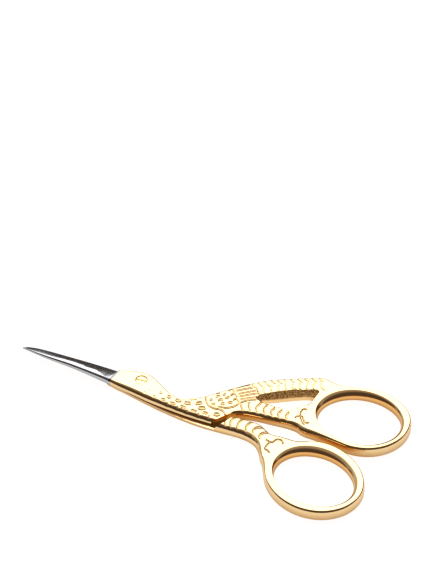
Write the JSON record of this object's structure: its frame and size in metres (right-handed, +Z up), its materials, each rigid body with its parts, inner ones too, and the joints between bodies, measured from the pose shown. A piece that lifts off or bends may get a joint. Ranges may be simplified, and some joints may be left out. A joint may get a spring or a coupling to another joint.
{
  "type": "stork embroidery scissors",
  "caption": "Small stork-shaped embroidery scissors: gold-plated handles with oval finger rings, ground steel blades and a slotted screw as the eye.",
  "frame": {"origin": "on the table, under the middle of the shut scissors' bounding box", "axes": "+X from the blade tips towards the finger rings, +Y towards the stork's back, +Z up from the table"},
  "size_m": [0.0904, 0.0402, 0.003],
  "materials": {
    "gold_plate": "polished gold plate over steel",
    "gold_screw": "polished gold plate over steel",
    "ground_steel": "blades ground across and polished along the spine"
  },
  "bodies": {
    "lower": {"lower_half": "gold_plate", "pivot_screw": "gold_screw"},
    "upper": {"upper_half": "gold_plate"}
  },
  "joints": [
    {"name": "pivot", "type": "hinge", "parent": "lower", "child": "upper", "pos_m": [-0.01602, 0.00272, 0.0015], "axis": [0, 0, 1], "range_deg": [0, 70]}
  ]
}
